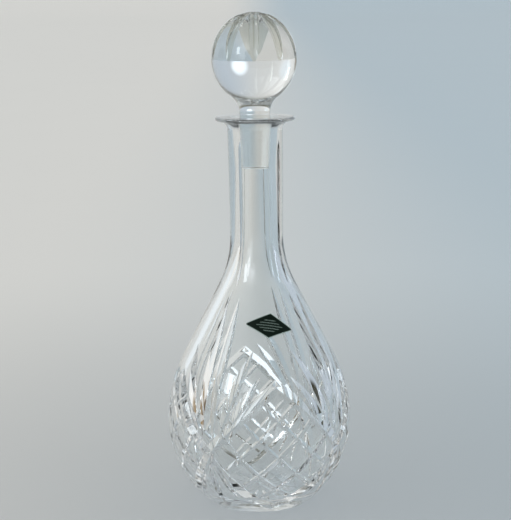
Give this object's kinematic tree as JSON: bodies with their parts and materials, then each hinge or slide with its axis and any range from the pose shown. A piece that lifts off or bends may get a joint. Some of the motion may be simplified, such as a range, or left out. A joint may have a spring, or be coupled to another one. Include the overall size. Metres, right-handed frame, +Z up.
{
  "type": "wine decanter",
  "caption": "Pear-shaped cut-glass wine decanter with a flared rim, a ground mouth, a solid fluted ball stopper that lifts out, and a small plain lozenge label.",
  "frame": {"origin": "centre of the foot, on the surface that the decanter stands on", "axes": "+Z up the neck; -Y through the middle of the cut panel that has the label above it"},
  "size_m": [0.1272, 0.1272, 0.3401],
  "materials": {
    "crystal": "clear, wheel cut and polished, with a frosted ground mouth",
    "stopper_crystal": "clear, fluted and polished, with a frosted ground peg",
    "label_film": "dark green film with a thin pale border, satin"
  },
  "bodies": {
    "bottle": {"decanter_body": "crystal", "label": "label_film"},
    "stopper": {"stopper": "stopper_crystal"}
  },
  "joints": [
    {"name": "stopper_lift", "type": "slide", "parent": "bottle", "child": "stopper", "axis": [0, 0, 1], "range_m": [0, 0.08]}
  ]
}
